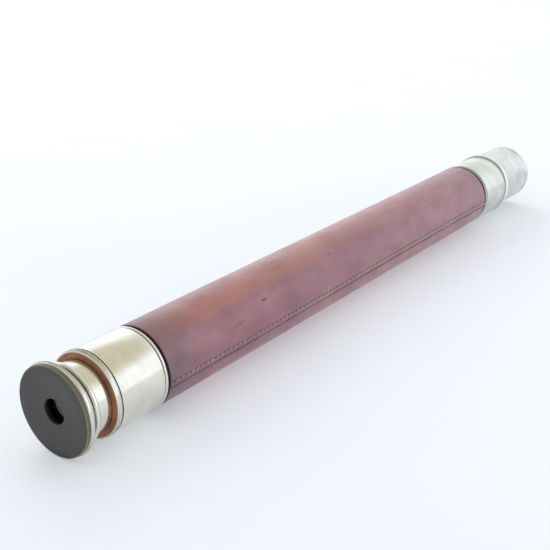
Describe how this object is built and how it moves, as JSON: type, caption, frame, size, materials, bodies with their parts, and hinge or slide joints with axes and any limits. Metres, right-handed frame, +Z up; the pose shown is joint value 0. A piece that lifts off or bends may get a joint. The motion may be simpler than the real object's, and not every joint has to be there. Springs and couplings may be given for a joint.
{
  "type": "hand telescope",
  "caption": "Leather-covered hand telescope with nickel-plated fittings, a draw tube that slides out to focus, a black eye disc and a sliding sunshade.",
  "frame": {"origin": "on the surface that the telescope lies on, under the middle of its length at rest", "axes": "+X along the optical axis towards the objective, -X towards the eyepiece, +Z up"},
  "size_m": [0.568, 0.0558, 0.0558],
  "materials": {
    "leather": "polished mahogany-brown hide, lapped and saddle-stitched along one seam",
    "nickel_plate": "bright nickel plate with a warm tint and tarnished grooves",
    "worn_nickel": "dulled nickel plate with faint blotches",
    "bare_brass_face": "bare brass tarnished brown",
    "inner_brass": "bare turned brass",
    "blackened_brass": "matt black, chemically blackened",
    "black_lacquer": "satin black lacquer on brass, rubbed through at the rim",
    "pin_steel": "dark steel",
    "lining_cloth": "dark woven cloth",
    "lens_glass": "polished optical glass"
  },
  "bodies": {
    "barrel": {"main_tube": "worn_nickel", "leather_cover": "leather", "eyepiece_end_ring": "nickel_plate", "objective_end_ring": "worn_nickel", "eyepiece_ferrule": "nickel_plate", "draw_bush": "bare_brass_face", "bush_lining": "lining_cloth", "bush_lock_pin": "pin_steel", "barrel_stop_1": "blackened_brass", "barrel_stop_2": "blackened_brass", "barrel_stop_3": "blackened_brass", "objective_cell": "worn_nickel", "objective_crown_lens": "lens_glass", "objective_spacer": "blackened_brass", "objective_flint_lens": "lens_glass", "objective_retaining_ring": "blackened_brass"},
    "draw_guide": {"draw_spring_ring": "inner_brass"},
    "draw": {"draw_tube": "nickel_plate", "draw_collar": "inner_brass", "draw_stop_nut": "inner_brass", "eyepiece_head": "nickel_plate", "eye_disc": "black_lacquer", "eyepiece_tube": "inner_brass", "field_stop": "blackened_brass", "eye_lens_cell": "blackened_brass", "eye_lens": "lens_glass", "eye_lens_ring": "blackened_brass", "field_lens_cell": "blackened_brass", "field_lens": "lens_glass", "field_lens_ring": "blackened_brass", "erector_mount_rear": "inner_brass", "erector_mount_front": "inner_brass", "erector_tube": "inner_brass", "erector_stop": "blackened_brass", "erector_rear_cell": "blackened_brass", "erector_rear_lens": "lens_glass", "erector_rear_ring": "blackened_brass", "erector_front_cell": "blackened_brass", "erector_front_lens": "lens_glass", "erector_front_ring": "blackened_brass"},
    "sunshade_guide": {"sunshade_spring_ring": "inner_brass"},
    "sunshade": {"sunshade_tube": "worn_nickel", "sunshade_retainer": "inner_brass", "sunshade_rim": "worn_nickel"}
  },
  "joints": [
    {"name": "draw_slide", "type": "slide", "parent": "barrel", "child": "draw_guide", "axis": [-1, 0, 0], "range_m": [-0.009, 0.157]},
    {"name": "draw_turn", "type": "hinge", "parent": "draw_guide", "child": "draw", "pos_m": [0, 0, 0.0279], "axis": [-1, 0, 0], "continuous": true},
    {"name": "sunshade_slide", "type": "slide", "parent": "barrel", "child": "sunshade_guide", "axis": [1, 0, 0], "range_m": [0, 0.076]},
    {"name": "sunshade_turn", "type": "hinge", "parent": "sunshade_guide", "child": "sunshade", "pos_m": [0, 0, 0.0279], "axis": [1, 0, 0], "continuous": true}
  ]
}
